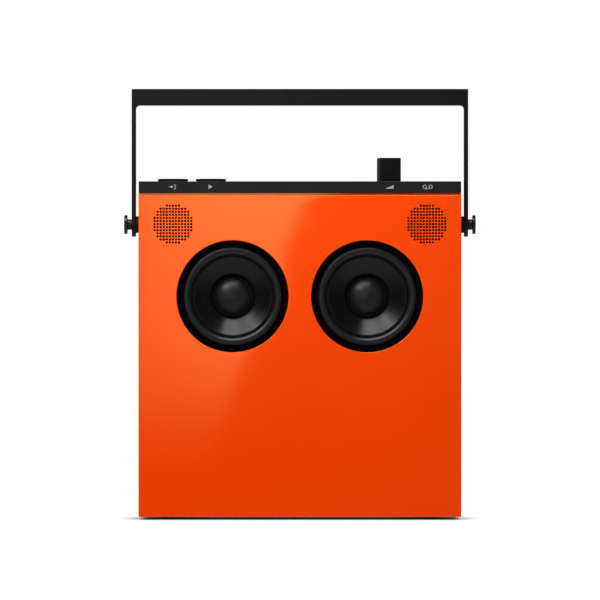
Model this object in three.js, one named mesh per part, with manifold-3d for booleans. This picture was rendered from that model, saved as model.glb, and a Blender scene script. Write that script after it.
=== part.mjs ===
// A portable stereo loudspeaker: an orange case with two woofers behind round mouths, two tweeters
// behind perforated fields, a black control deck on top, and a square carrying handle that swings on
// two side pins whose mushroom heads also take a shoulder strap.
// Millimetres. +Z is up, the front faces -Y and +X is on the right of someone facing the front.
// The origin is on the ground, under the middle of the case.
import * as THREE from 'three';
import { mergeVertices } from 'three/addons/utils/BufferGeometryUtils.js';
import Module from 'manifold-3d';

const wasm = await Module();
wasm.setup();

// Gaps and resolution
const SEAT = 0.1; // between two faces that rest on each other
const FIT = 0.3; // round a piece that sits or moves in a hole
const ROUND = 16; // sides of a small or hidden turned piece
const WIDE_ROUND = 24; // sides of a large or visible one
const CORNER_STEPS = 2; // along a small round corner
const END_STEPS = 5; // along a quarter of a round end

// Case
const CASE_WIDTH = 211;
const CASE_DEPTH = 58;
const CASE_BOTTOM = 1.6; // the feet hold the case this high
const SEAM_Z = 213.4; // top of the orange case, where the deck begins
const DECK_TOP = 221;
const SHEET = 3; // front panel, rear cover and the deck's top
const WALL = 2.5; // side, bottom and deck walls
const CORNER = 1;
const BEVEL = 0.8;
const HALF_WIDTH = CASE_WIDTH / 2;
const FRONT_Y = -CASE_DEPTH / 2;
const BACK_Y = CASE_DEPTH / 2;
const PANEL_BACK = FRONT_Y + SHEET;
const COVER_FRONT = BACK_Y - SHEET;
const DECK_UNDER = DECK_TOP - SHEET;
const INNER_X = HALF_WIDTH - WALL;

// Speakers
const WOOFER_X = 44;
const WOOFER_Z = 145.8;
const MOUTH_RADIUS = 36.6;
const COLLAR_RADIUS = 38.8;
const COLLAR_BACK = -22.3;
const WOOFER_SCREW_CIRCLE = 39.9;
const TWEETER_X = 83;
const TWEETER_Z = 193;
const HOLE_PITCH = 2;
const HOLE_RADIUS = 0.7;
const HOLE_ROWS = 6; // rows on each side of the middle row
const FIELD_LIMIT = 6.45; // holes reach this many pitches from the field's middle
const POCKET_RADIUS = 13.6;
const POCKET_DEPTH = 1.5;

// Handle and its pivot
const PIVOT_Z = TWEETER_Z;
const HANDLE_TOP = 282;
const BAR_HEIGHT = 10.6;
const HANDLE_DEPTH = 16;
const HANDLE_HALF_WIDTH = 110.5;
const ARM_THICKNESS = 2.6;
const HANDLE_INNER_X = HANDLE_HALF_WIDTH - ARM_THICKNESS;
const HANDLE_FILLET = 2.5;
const PIN_RADIUS = 2.5;
const PIN_INNER_X = 94;
const STEM_RADIUS = 3.45;
const STEM_END_X = 113.4;
const HEAD_RADIUS = 6.2;
const HEAD_END_X = 115.5;
const BUSH_RADIUS = 5.5;
const BOSS_RADIUS = 7;
const BOSS_INNER_X = 96;

// Feet
const FOOT_X = 83;
const FOOT_WIDTH = 17;
const FOOT_LENGTH = 46;
const FOOT_TOP = 2.4;

// Controls on the deck, all on the line y = 0
const INPUT_X = -83.5;
const PLAY_X = -58.5;
const VOLUME_X = 58.5;
const TAPE_X = 83.5;
const KEY_RADIUS = 10;
const KEY_TOP = 223;
const KNOB_SIDE = 14;
const KNOB_TOP = 236.8;
const KNOB_TURN = THREE.MathUtils.degToRad(8);
const TAPE_WHEEL_RADIUS = 12.5;
const SHAFT_RADIUS = 3; // of the volume control
const SPINDLE_RADIUS = 1.5; // of the tape wheel
const PLUNGER_RADIUS = 1.5; // in each switch
const BOARD_TOP = 204.6;
const BOARD_THICKNESS = 1.6;
const CONTROL_BOARD_X = [-94, 94];
const CONTROL_BOARD_Y = [-6, 22];
const DECK_POSTS_X = [-90, -20, 20, 90];
const DECK_POST_Y = 16;
const POST_RADIUS = 2.5; // of the posts that hold a board

// Rear connector well
const WELL_X = [20, 80];
const WELL_Z = [22, 38];
const WELL_RIM = 2;
const WELL_FLOOR_FRONT = 24;
const USB_X = 40;
const JACK_X = 56;
const POWER_X = 72;
const SOCKET_Z = 30;
const USB_SIZE = [8.94, 3.26];
const JACK_RADIUS = 3;
const POWER_RADIUS = 3.5;
const MAIN_BOARD_X = [-60, 80];
const MAIN_BOARD_Y = [15, 16.6];
const MAIN_BOARD_Z = [15, 95];
const SOCKET_FRONT = MAIN_BOARD_Y[1] + SEAT;
const MAIN_BOARD_POSTS = [[-52, 22], [8, 22], [-52, 88], [72, 88]];

// Case screws
const SCREW_X = 98.8;
const SCREW_Z = [9, 207];
const SCREW_TIP = 8;
const SCREW_HEAD = [BACK_Y - 1.5, BACK_Y - 0.3];
const SCREW_POST_FRONT = 6;
const SCREW_POST_HALF = 3.8;

// Battery
const CELL_RADIUS = 9.25;
const CELLS = 4;
const CELL_Y = -12.75;
const CELL_Z = [5.9, 70.9];
const TRAY_X = [-40, 40];
const TRAY_Y = [-24, -1.5];
const TRAY_Z = [4.2, 14];
const TRAY_WALL = 1.5;

const FINISHES = {
  orange: { color: 0xee5208, roughness: 0.25 },
  black: { color: 0x1d1d1f, roughness: 0.7 },
  rubber: { color: 0x101011, roughness: 0.9 },
  cone: { color: 0x232325, roughness: 0.6 },
  cloth: { color: 0xb98a4a, roughness: 0.9 },
  steel: { color: 0xa9adb2, roughness: 0.35, metalness: 1 },
  ferrite: { color: 0x38393b, roughness: 0.8 },
  copper: { color: 0xb5713f, roughness: 0.4, metalness: 1 },
  silk: { color: 0x2a2a2d, roughness: 0.8 },
  board: { color: 0x1d5c38, roughness: 0.6 },
  wrap: { color: 0x2b5f9e, roughness: 0.5 },
};

// ---------------------------------------------------------------- shape helpers

// A closed geometry as a solid that can be joined and cut.
function toSolid(geometry) {
  const loose = geometry.index ? geometry.toNonIndexed() : geometry;
  const bare = new THREE.BufferGeometry();
  bare.setAttribute('position', loose.getAttribute('position').clone());
  const welded = mergeVertices(bare, 1e-4);
  return new wasm.Manifold(new wasm.Mesh({
    numProp: 3,
    vertProperties: welded.getAttribute('position').array,
    triVerts: new Uint32Array(welded.index.array),
  }));
}

function toGeometry(solid) {
  const { vertProperties, triVerts } = solid.getMesh();
  const geometry = new THREE.BufferGeometry();
  geometry.setAttribute('position', new THREE.BufferAttribute(vertProperties, 3));
  geometry.setIndex(new THREE.BufferAttribute(triVerts, 1));
  geometry.computeVertexNormals();
  return geometry;
}

function join(...geometries) {
  return toGeometry(geometries.map(toSolid).reduce((whole, piece) => whole.add(piece)));
}

function cut(geometry, ...tools) {
  const solids = tools.map(toSolid);
  return toGeometry(solids.reduce((whole, tool) => whole.subtract(tool), toSolid(geometry)));
}

function common(first, second) {
  return toGeometry(toSolid(first).intersect(toSolid(second)));
}

function box([x0, x1], [y0, y1], [z0, z1]) {
  const geometry = new THREE.BoxGeometry(x1 - x0, y1 - y0, z1 - z0);
  return geometry.translate((x0 + x1) / 2, (y0 + y1) / 2, (z0 + z1) / 2);
}

const [X, Y, Z] = [[1, 0, 0], [0, 1, 0], [0, 0, 1]].map((axis) => new THREE.Vector3(...axis));

// Turns a shape that was pulled along Z so that it is pulled along the axis named.
const SPAN_FROM_Z = {
  x: new THREE.Matrix4().makeBasis(Y, Z, X),
  y: new THREE.Matrix4().makeBasis(X, Z, Y.clone().negate()),
  z: new THREE.Matrix4(),
};

// A prism along an axis. The shape is drawn in (y, z) for x, in (x, z) for y and in (x, y) for z.
// bevel rounds both rims inwards.
function prism(axis, shape, from, to, bevel = 0, steps = CORNER_STEPS) {
  const geometry = new THREE.ExtrudeGeometry(shape, {
    depth: to - from - 2 * bevel,
    bevelEnabled: bevel > 0,
    bevelThickness: bevel,
    bevelSize: bevel,
    bevelOffset: -bevel,
    bevelSegments: 2,
    curveSegments: steps,
  });
  geometry.translate(0, 0, axis === 'y' ? bevel - to : bevel + from);
  return geometry.applyMatrix4(SPAN_FROM_Z[axis]);
}

// A turned piece about an axis, from a profile of [radius, height] points that runs outwards along
// its low side and back along its high side. A profile off the axis is closed here.
function turned(axis, profile, sides = ROUND) {
  const onAxis = profile[0][0] === 0;
  const loop = onAxis ? profile : [...profile, profile[0]];
  const geometry = new THREE.LatheGeometry(loop.map(([r, h]) => new THREE.Vector2(r, h)), sides);
  if (axis === 'x') geometry.rotateZ(-Math.PI / 2);
  if (axis === 'z') geometry.rotateX(Math.PI / 2);
  return geometry;
}

function rod(axis, radius, from, to, sides = ROUND) {
  return turned(axis, [[0, from], [radius, from], [radius, to], [0, to]], sides);
}

function tube(axis, inner, outer, from, to, sides = ROUND) {
  return turned(axis, [[inner, from], [outer, from], [outer, to], [inner, to]], sides);
}

function polygon(points) {
  return new THREE.Shape(points.map(([x, y]) => new THREE.Vector2(x, y)));
}

// A rectangle centred on (cx, cy) with round corners.
function rounded(cx, cy, width, height, radius) {
  const [x, y] = [width / 2 - radius, height / 2 - radius];
  const shape = new THREE.Shape();
  shape.absarc(cx + x, cy - y, radius, -Math.PI / 2, 0);
  shape.absarc(cx + x, cy + y, radius, 0, Math.PI / 2);
  shape.absarc(cx - x, cy + y, radius, Math.PI / 2, Math.PI);
  shape.absarc(cx - x, cy - y, radius, Math.PI, 1.5 * Math.PI);
  shape.closePath();
  return shape;
}

// Points along an arc, both ends included.
function arc(cx, cy, radius, from, to, steps) {
  return Array.from({ length: steps + 1 }, (_, i) => {
    const angle = from + ((to - from) * i) / steps;
    return [cx + radius * Math.cos(angle), cy + radius * Math.sin(angle)];
  });
}

// A shallow dome's profile from the axis at height tip out to radius at height rim.
function domeArc(radius, rim, tip, steps) {
  const rise = Math.abs(rim - tip);
  const sphere = (radius * radius + rise * rise) / (2 * rise);
  const centre = tip + Math.sign(rim - tip) * sphere;
  const edge = Math.asin(radius / sphere);
  return Array.from({ length: steps + 1 }, (_, i) => {
    const angle = (edge * i) / steps;
    return [sphere * Math.sin(angle), centre - Math.sign(rim - tip) * sphere * Math.cos(angle)];
  });
}

function piece(name, finish, geometry) {
  const mesh = new THREE.Mesh(geometry, new THREE.MeshStandardMaterial(FINISHES[finish]));
  mesh.name = name;
  return mesh;
}

function placed(object, x, y, z) {
  object.position.set(x, y, z);
  return object;
}

const SIDES = [['left', -1], ['right', 1]];

// ---------------------------------------------------------------- case

function caseShape() {
  const height = SEAM_Z - CASE_BOTTOM;
  return rounded(0, CASE_BOTTOM + height / 2, CASE_WIDTH, height, CORNER);
}

// A cutting tool or post's ends run this far past the faces it meets.
const PAST = 1;

// The holes in front of one tweeter: a round field cut from a square grid.
function perforations(x) {
  const holes = [];
  for (let row = -HOLE_ROWS; row <= HOLE_ROWS; row++) {
    for (let column = -HOLE_ROWS; column <= HOLE_ROWS; column++) {
      if (Math.hypot(row, column) > FIELD_LIMIT) continue;
      const hole = rod('y', HOLE_RADIUS, FRONT_Y - PAST, PANEL_BACK, 4);
      holes.push(hole.translate(x + column * HOLE_PITCH, 0, TWEETER_Z + row * HOLE_PITCH));
    }
  }
  return holes;
}

function screwCircle(make) {
  return [1, 3, 5, 7].map((eighth) => {
    const angle = (eighth * Math.PI) / 4;
    const [x, z] = [WOOFER_SCREW_CIRCLE * Math.cos(angle), WOOFER_SCREW_CIRCLE * Math.sin(angle)];
    return make().translate(x, 0, z);
  });
}

function frontPanel() {
  const raw = prism('y', caseShape(), FRONT_Y, PANEL_BACK + 2 * BEVEL, BEVEL);
  const behind = box([-HALF_WIDTH, HALF_WIDTH], [PANEL_BACK, 0], [0, DECK_TOP]);
  let panel = cut(raw, behind);
  for (const [, side] of SIDES) {
    const collar = rod('y', COLLAR_RADIUS, PANEL_BACK - PAST, COLLAR_BACK, WIDE_ROUND);
    const bosses = screwCircle(() => rod('y', 2.6, PANEL_BACK - PAST, COLLAR_BACK, 8));
    const pilots = screwCircle(() => rod('y', 1, PANEL_BACK + 0.5, COLLAR_BACK + PAST, 4));
    const mouth = rod('y', MOUTH_RADIUS, FRONT_Y - PAST, COLLAR_BACK + PAST, WIDE_ROUND);
    const seat = [collar, ...bosses].map((part) => part.translate(side * WOOFER_X, 0, WOOFER_Z));
    const gone = [mouth, ...pilots].map((part) => part.translate(side * WOOFER_X, 0, WOOFER_Z));
    const pocket = rod('y', POCKET_RADIUS, PANEL_BACK - POCKET_DEPTH, 0, WIDE_ROUND);
    pocket.translate(side * TWEETER_X, 0, TWEETER_Z);
    panel = cut(join(panel, ...seat), ...gone, pocket, ...perforations(side * TWEETER_X));
  }
  return piece('front_panel', 'orange', panel);
}

// Two sides and a bottom in one piece, with screw posts at the back and a boss for each pivot pin.
function bodyFrame() {
  const [front, back] = [PANEL_BACK + SEAT, COVER_FRONT - SEAT];
  const shell = cut(
    prism('y', caseShape(), front, back),
    box([-INNER_X, INNER_X], [front - PAST, back + PAST], [CASE_BOTTOM + WALL, DECK_TOP]),
    box([-HALF_WIDTH - PAST, HALF_WIDTH + PAST], [front - PAST, back + PAST], [SEAM_Z - CORNER, DECK_TOP]),
  );
  const lips = SIDES.map(([, side]) => {
    const middle = (side * (INNER_X + HALF_WIDTH)) / 2;
    return box([middle - WALL / 2, middle + WALL / 2], [front, back], [SEAM_Z - 2 * CORNER, SEAM_Z]);
  });
  const added = [];
  const removed = [];
  for (const [, side] of SIDES) {
    for (const z of SCREW_Z) {
      const [inner, outer] = [side * (SCREW_X - SCREW_POST_HALF), side * (INNER_X + 0.5)];
      const reach = [Math.min(inner, outer), Math.max(inner, outer)];
      added.push(box(reach, [SCREW_POST_FRONT, back], [z - SCREW_POST_HALF, z + SCREW_POST_HALF]));
      const hole = rod('y', 1.4, SCREW_POST_FRONT - PAST, back + PAST, 8);
      removed.push(hole.translate(side * SCREW_X, 0, z));
    }
    const boss = rod('x', BOSS_RADIUS, BOSS_INNER_X, INNER_X + 0.5);
    const bore = rod('x', PIN_RADIUS + FIT, BOSS_INNER_X - PAST, HALF_WIDTH + PAST);
    for (const turnedPiece of [boss, bore]) {
      turnedPiece.translate(0, 0, PIVOT_Z);
      if (side < 0) turnedPiece.rotateZ(Math.PI);
    }
    added.push(boss);
    removed.push(bore);
    const pocket = rounded(side * FOOT_X, 0, FOOT_WIDTH + 2 * FIT, FOOT_LENGTH + 2 * FIT, FOOT_WIDTH / 2);
    removed.push(prism('z', pocket, 0, FOOT_TOP + SEAT, 0, END_STEPS));
  }
  return piece('body_frame', 'orange', cut(join(shell, ...lips, ...added), ...removed));
}

// The cover carries the connector well and the main board's posts.
function rearCover() {
  const raw = prism('y', caseShape(), COVER_FRONT - 2 * BEVEL, BACK_Y, BEVEL);
  const before = box([-HALF_WIDTH, HALF_WIDTH], [0, COVER_FRONT], [0, DECK_TOP]);
  const well = box(WELL_X, [COVER_FRONT, BACK_Y + PAST], WELL_Z);
  const sheet = cut(raw, before, well);
  const grown = ([low, high]) => [low - WELL_RIM, high + WELL_RIM];
  const floor = box(grown(WELL_X), [WELL_FLOOR_FRONT, COVER_FRONT], grown(WELL_Z));
  const posts = MAIN_BOARD_POSTS.map(([x, z]) => {
    return rod('y', POST_RADIUS, SOCKET_FRONT, COVER_FRONT + PAST, 8).translate(x, 0, z);
  });
  const through = [WELL_FLOOR_FRONT - PAST, BACK_Y];
  const [usbWidth, usbHeight] = USB_SIZE.map((size) => size + 2 * FIT);
  const usbShape = rounded(USB_X, SOCKET_Z, usbWidth, usbHeight, usbHeight / 2);
  const sockets = [
    prism('y', usbShape, ...through, 0, END_STEPS),
    rod('y', JACK_RADIUS + FIT, ...through).translate(JACK_X, 0, SOCKET_Z),
    rod('y', POWER_RADIUS + FIT, ...through).translate(POWER_X, 0, SOCKET_Z),
  ];
  const screwHoles = SIDES.flatMap(([, side]) => SCREW_Z.flatMap((z) => [
    rod('y', 1.9, COVER_FRONT - PAST, BACK_Y, 12).translate(side * SCREW_X, 0, z),
    rod('y', 3.6, BACK_Y - 1.6, BACK_Y + PAST, 12).translate(side * SCREW_X, 0, z),
  ]));
  return piece('rear_cover', 'black', cut(join(sheet, floor, ...posts), ...sockets, ...screwHoles));
}

// A tray turned upside down, with the holes for the controls and posts that hold the control board.
function topDeck() {
  const bottom = SEAM_Z + SEAT;
  const outline = rounded(0, 0, CASE_WIDTH, CASE_DEPTH, CORNER);
  const raw = prism('z', outline, bottom - 2 * BEVEL, DECK_TOP, BEVEL);
  const below = box([-HALF_WIDTH, HALF_WIDTH], [FRONT_Y, BACK_Y], [bottom - 2 * BEVEL - PAST, bottom]);
  const hollow = box([-INNER_X, INNER_X], [FRONT_Y + WALL, BACK_Y - WALL], [bottom - PAST, DECK_UNDER]);
  const posts = DECK_POSTS_X.map((x) => {
    return rod('z', POST_RADIUS, BOARD_TOP + SEAT, DECK_UNDER + PAST, 8).translate(x, DECK_POST_Y, 0);
  });
  const holes = [
    [INPUT_X, KEY_RADIUS + FIT],
    [PLAY_X, KEY_RADIUS + FIT],
    [VOLUME_X, SHAFT_RADIUS + 1],
    [TAPE_X, TAPE_WHEEL_RADIUS + FIT],
  ].map(([x, radius]) => {
    return rod('z', radius, DECK_UNDER - PAST, DECK_TOP + PAST, WIDE_ROUND).translate(x, 0, 0);
  });
  return piece('top_deck', 'black', cut(join(cut(raw, below, hollow), ...posts), ...holes));
}

function feet() {
  return SIDES.map(([name, side]) => {
    const shape = rounded(0, 0, FOOT_WIDTH, FOOT_LENGTH, FOOT_WIDTH / 2);
    const strip = prism('z', shape, 0, FOOT_TOP, 0, END_STEPS);
    return placed(piece(`foot_${name}`, 'rubber', strip), side * FOOT_X, 0, 0);
  });
}

function rearScrews() {
  const [under, top] = SCREW_HEAD;
  const profile = [[0, SCREW_TIP], [1.1, SCREW_TIP], [1.1, under], [3.2, under], [3.2, top], [0, top]];
  return SIDES.flatMap(([name, side]) => SCREW_Z.map((z, i) => {
    const label = `rear_screw_${['lower', 'upper'][i]}_${name}`;
    return placed(piece(label, 'steel', turned('y', profile, 12)), side * SCREW_X, 0, z);
  }));
}

// ---------------------------------------------------------------- handle

// A flat bar and two thin arms. Each arm ends in a half circle about the pivot.
function handle() {
  const fillet = HANDLE_FILLET;
  const under = HANDLE_TOP - BAR_HEIGHT;
  const foot = PIVOT_Z - HANDLE_DEPTH / 2;
  const front = polygon([
    [-HANDLE_HALF_WIDTH, foot], [-HANDLE_INNER_X, foot],
    ...arc(-HANDLE_INNER_X + fillet, under - fillet, fillet, Math.PI, Math.PI / 2, 4),
    ...arc(HANDLE_INNER_X - fillet, under - fillet, fillet, Math.PI / 2, 0, 4),
    [HANDLE_INNER_X, foot], [HANDLE_HALF_WIDTH, foot],
    [HANDLE_HALF_WIDTH, HANDLE_TOP], [-HANDLE_HALF_WIDTH, HANDLE_TOP],
  ]);
  const half = HANDLE_DEPTH / 2;
  const side = polygon([
    ...arc(0, PIVOT_Z, half, Math.PI, 2 * Math.PI, 12),
    [half, HANDLE_TOP + PAST], [-half, HANDLE_TOP + PAST],
  ]);
  const blank = common(
    prism('y', front, -half, half),
    prism('x', side, -HANDLE_HALF_WIDTH - PAST, HANDLE_HALF_WIDTH + PAST),
  );
  const bore = rod('x', PIN_RADIUS + FIT + SEAT, -HANDLE_HALF_WIDTH - PAST, HANDLE_HALF_WIDTH + PAST);
  return piece('handle', 'black', cut(blank, bore.translate(0, 0, PIVOT_Z)));
}

// A washer spaces each arm from the case, and a pin with a mushroom head holds the arm on.
function pivot(name, side) {
  const bush = tube('x', PIN_RADIUS + FIT + SEAT, BUSH_RADIUS, HALF_WIDTH + SEAT, HANDLE_INNER_X - SEAT);
  const shoulder = HANDLE_HALF_WIDTH + SEAT;
  const pin = turned('x', [
    [0, PIN_INNER_X], [PIN_RADIUS, PIN_INNER_X], [PIN_RADIUS, shoulder], [STEM_RADIUS, shoulder],
    [STEM_RADIUS, STEM_END_X], [HEAD_RADIUS, STEM_END_X], [HEAD_RADIUS, HEAD_END_X], [0, HEAD_END_X],
  ]);
  const group = placed(new THREE.Group(), 0, 0, PIVOT_Z);
  group.add(piece(`pivot_bush_${name}`, 'black', bush), piece(`strap_pin_${name}`, 'black', pin));
  group.rotation.z = side < 0 ? Math.PI : 0;
  return group;
}

// ---------------------------------------------------------------- woofers, about the Y axis

// A cone-shaped cage: a flange with screw holes in front, a ledge for the spider and a back plate.
function basket() {
  const cage = turned('y', [
    [33.2, -22.2], [42.5, -22.2], [42.5, -20.7], [35.2, -20.7], [27.2, -6], [27.2, 0], [16, 0],
    [16, -1.5], [25.4, -1.5], [25.4, -5.2], [21.3, -5.2], [21.3, -6.4], [25.6, -6.4], [33.2, -20.4],
  ]);
  const windows = [0, 1, 2, 3].map((quarter) => {
    return box([20, 40], [-18.5, -8.5], [-13, 13]).rotateY((quarter * Math.PI) / 2);
  });
  return cut(cage, ...windows, ...screwCircle(() => rod('y', 1.5, -23, -20, 6)));
}

function surround() {
  const [middle, face, skin] = [29.45, -22.8, 0.5];
  const crest = arc(middle, face, 2.75, Math.PI, 2 * Math.PI, 4);
  const hollow = arc(middle, face, 2.25, 2 * Math.PI, Math.PI, 4);
  return turned('y', [
    [25.5, face], ...crest, [36.3, face], [36.3, face + skin],
    [middle + 2.25, face + skin], ...hollow, [middle - 2.25, face + skin], [25.5, face + skin],
  ], WIDE_ROUND);
}

function cone() {
  return turned('y', [
    [13.2, -11.9], [19, -16.4], [25.2, -22.2], [26.2, -22.2], [26.2, -21.7],
    [25.4, -21.7], [19.2, -15.8], [13.2, -11.3],
  ], WIDE_ROUND);
}

function dustCap() {
  const outside = domeArc(12.4, -13.2, -18.6, 3);
  const inside = domeArc(11.8, -13.2, -18, 3).reverse();
  return turned('y', [...outside, [12.4, -12], [11.8, -12], ...inside], WIDE_ROUND);
}

function voiceCoil() {
  return turned('y', [[12.5, -11.8], [12.9, -11.8], [12.9, -1.8], [13.6, -1.8], [13.6, 6], [12.5, 6]]);
}

// A thin folded disc, which keeps the coil central.
function spider() {
  const [inner, outer, waveStart, halfWave, turns, skin] = [13.2, 25.2, 14.8, 1.5, 4, 0.5];
  const wave = Array.from({ length: turns + 1 }, (_, i) => {
    return [waveStart + halfWave * i, -6.8 + (i % 2 ? 0.8 : -0.8)];
  });
  const line = [[inner, -6.8], ...wave, [outer, -6.8]];
  const shifted = (by) => line.map(([r, y]) => [r, y + by]);
  return turned('y', [...shifted(-skin / 2), ...shifted(skin / 2).reverse()]);
}

function yoke() {
  return turned('y', [[0, 0.1], [12.2, 0.1], [12.2, 13.3], [27, 13.3], [27, 17.3], [0, 17.3]]);
}

function woofer(name, side) {
  const group = placed(new THREE.Group(), side * WOOFER_X, 0, WOOFER_Z);
  group.add(
    piece(`woofer_${name}_basket`, 'steel', basket()),
    piece(`woofer_${name}_surround`, 'rubber', surround()),
    piece(`woofer_${name}_cone`, 'cone', cone()),
    piece(`woofer_${name}_dust_cap`, 'cone', dustCap()),
    piece(`woofer_${name}_voice_coil`, 'copper', voiceCoil()),
    piece(`woofer_${name}_spider`, 'cloth', spider()),
    piece(`woofer_${name}_top_plate`, 'steel', tube('y', 14.2, 27, 0.1, 4.1)),
    piece(`woofer_${name}_magnet`, 'ferrite', tube('y', 16.5, 29, 4.2, 13.2)),
    piece(`woofer_${name}_yoke`, 'steel', yoke()),
  );
  return group;
}

// ---------------------------------------------------------------- tweeters, about the Y axis

function tweeter(name, side) {
  const frame = turned('y', [
    [12, -25.9], [17.2, -25.9], [17.2, -23.9], [15, -23.9],
    [15, -20.2], [11.2, -20.2], [11.2, -21.7], [12, -21.7],
  ]);
  const outside = domeArc(9.6, -22.2, -25.4, 3);
  const inside = domeArc(9.2, -21.8, -25, 3).reverse();
  const dome = turned('y', [...outside, [11.8, -22.2], [11.8, -21.8], ...inside]);
  const group = placed(new THREE.Group(), side * TWEETER_X, 0, TWEETER_Z);
  group.add(
    piece(`tweeter_${name}_frame`, 'black', frame),
    piece(`tweeter_${name}_dome`, 'silk', dome),
    piece(`tweeter_${name}_magnet`, 'ferrite', rod('y', 13.2, -20.1, -12)),
  );
  return group;
}

// ---------------------------------------------------------------- controls on the deck

// A round key on a stem, the switch plunger under it and the switch on the control board.
function deckKey(name, x) {
  const key = turned('z', [
    [0, 209.6], [3, 209.6], [3, 216.2], [11.3, 216.2], [11.3, 217.7], [KEY_RADIUS, 217.7],
    [KEY_RADIUS, KEY_TOP - 0.6], [KEY_RADIUS - 0.6, KEY_TOP], [0, KEY_TOP],
  ], WIDE_ROUND);
  const half = 3;
  const base = BOARD_TOP + SEAT;
  const housing = cut(
    box([-half, half], [-half, half], [base, base + 3.5]),
    rod('z', PLUNGER_RADIUS + FIT, base + FIT, base + 4, 16),
  );
  const group = placed(new THREE.Group(), x, 0, 0);
  group.add(
    piece(`${name}_button`, 'black', key),
    piece(`${name}_plunger`, 'steel', rod('z', PLUNGER_RADIUS, 206.2, 209.4, 16)),
    piece(`${name}_switch`, 'black', housing),
  );
  return group;
}

// A square block on a round shaft that turns in an encoder.
function volumeControl() {
  const half = KNOB_SIDE / 2;
  const block = prism('z', rounded(0, 0, KNOB_SIDE, KNOB_SIDE, 0.6), DECK_TOP + FIT, KNOB_TOP, 0.4);
  const socket = rod('z', SHAFT_RADIUS + FIT, DECK_TOP - PAST, 231.5, 16);
  const knob = piece('volume_knob', 'black', cut(block, socket));
  knob.rotation.z = KNOB_TURN;
  const base = BOARD_TOP + SEAT;
  const encoder = cut(
    join(box([-6, 6], [-half + 1, half - 0.5], [base, base + 6.3]), rod('z', 4.5, base + 6, 213)),
    rod('z', SHAFT_RADIUS + FIT, base + 1, 214),
  );
  const group = placed(new THREE.Group(), VOLUME_X, 0, 0);
  group.add(
    knob,
    piece('volume_shaft', 'steel', rod('z', SHAFT_RADIUS, 206, 231, 16)),
    piece('volume_encoder', 'black', encoder),
  );
  return group;
}

// A flush disc with a finger dimple near its rim, driven by a small motor.
function tapeControl() {
  const [top, bottom] = [DECK_TOP - SEAT, DECK_UNDER + 0.2];
  const disc = turned('z', [
    [0, 215], [4, 215], [4, bottom], [TAPE_WHEEL_RADIUS, bottom],
    [TAPE_WHEEL_RADIUS, top - 0.4], [TAPE_WHEEL_RADIUS - 0.4, top], [0, top],
  ], WIDE_ROUND);
  const bowl = turned('z', [[0, -1.2], [2.6, -0.6], [3.6, 0.5], [0, 0.5]], 16).translate(0, -7.6, top);
  const wheel = cut(disc, rod('z', SPINDLE_RADIUS + FIT, 214, 219.3, 12), bowl);
  const base = BOARD_TOP + SEAT;
  const motor = cut(rod('z', 9, base, 214), rod('z', SPINDLE_RADIUS + FIT, base + 1, 215, 12));
  const group = placed(new THREE.Group(), TAPE_X, 0, 0);
  group.add(
    piece('tape_wheel', 'black', wheel),
    piece('tape_shaft', 'steel', rod('z', SPINDLE_RADIUS, 206, 219, 12)),
    piece('tape_motor', 'steel', motor),
  );
  return group;
}

// ---------------------------------------------------------------- electronics

function controlBoard() {
  const board = box(CONTROL_BOARD_X, CONTROL_BOARD_Y, [BOARD_TOP - BOARD_THICKNESS, BOARD_TOP]);
  return piece('control_board', 'board', board);
}

function mainBoard() {
  return piece('main_board', 'board', box(MAIN_BOARD_X, MAIN_BOARD_Y, MAIN_BOARD_Z));
}

// A ribbon from the control board down behind the woofers to the main board.
function flatCable() {
  const strip = polygon([[16.9, 92], [20.9, 92], [20.9, 202.7], [20.3, 202.7], [20.3, 92.6], [16.9, 92.6]]);
  return piece('flat_cable', 'wrap', prism('x', strip, -10, 10));
}

// Four round cells side by side in one wrap, standing in a tray on the case's floor.
function battery() {
  const half = (CELLS - 1) * CELL_RADIUS;
  const row = Array.from({ length: CELLS }, (_, i) => {
    return rod('z', CELL_RADIUS, ...CELL_Z, 20).translate(2 * CELL_RADIUS * i - half, CELL_Y, 0);
  });
  const web = box([-half, half], [CELL_Y - 6, CELL_Y + 6], CELL_Z);
  const within = ([low, high]) => [low + TRAY_WALL, high - TRAY_WALL];
  const hollow = box(within(TRAY_X), within(TRAY_Y), [TRAY_Z[0] + TRAY_WALL, TRAY_Z[1] + PAST]);
  const tray = cut(box(TRAY_X, TRAY_Y, TRAY_Z), hollow);
  return [piece('battery_pack', 'wrap', join(web, ...row)), piece('battery_tray', 'black', tray)];
}

// A metal shell with a contact tongue inside it.
function usbSocket() {
  const [width, height] = USB_SIZE;
  const [mouthWidth, mouthHeight] = [width - 0.6, height - 0.7];
  const outer = rounded(0, 0, width, height, height / 2);
  const mouth = rounded(0, 0, mouthWidth, mouthHeight, mouthHeight / 2);
  const shell = cut(
    prism('y', outer, SOCKET_FRONT, COVER_FRONT, 0, END_STEPS),
    prism('y', mouth, SOCKET_FRONT + 1, COVER_FRONT + PAST, 0, END_STEPS),
  );
  const tongue = box([-3.35, 3.35], [SOCKET_FRONT + 0.5, COVER_FRONT - 0.8], [-0.35, 0.35]);
  return placed(piece('usb_socket', 'steel', join(shell, tongue)), USB_X, 0, SOCKET_Z);
}

function audioJack() {
  const body = box([-3.2, 3.2], [SOCKET_FRONT, WELL_FLOOR_FRONT - FIT], [-3.2, 3.2]);
  const barrel = rod('y', JACK_RADIUS, WELL_FLOOR_FRONT - 1, COVER_FRONT);
  const bore = rod('y', 1.8, SOCKET_FRONT + 1.2, COVER_FRONT + PAST, 16);
  return placed(piece('audio_jack', 'black', cut(join(body, barrel), bore)), JACK_X, 0, SOCKET_Z);
}

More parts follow.
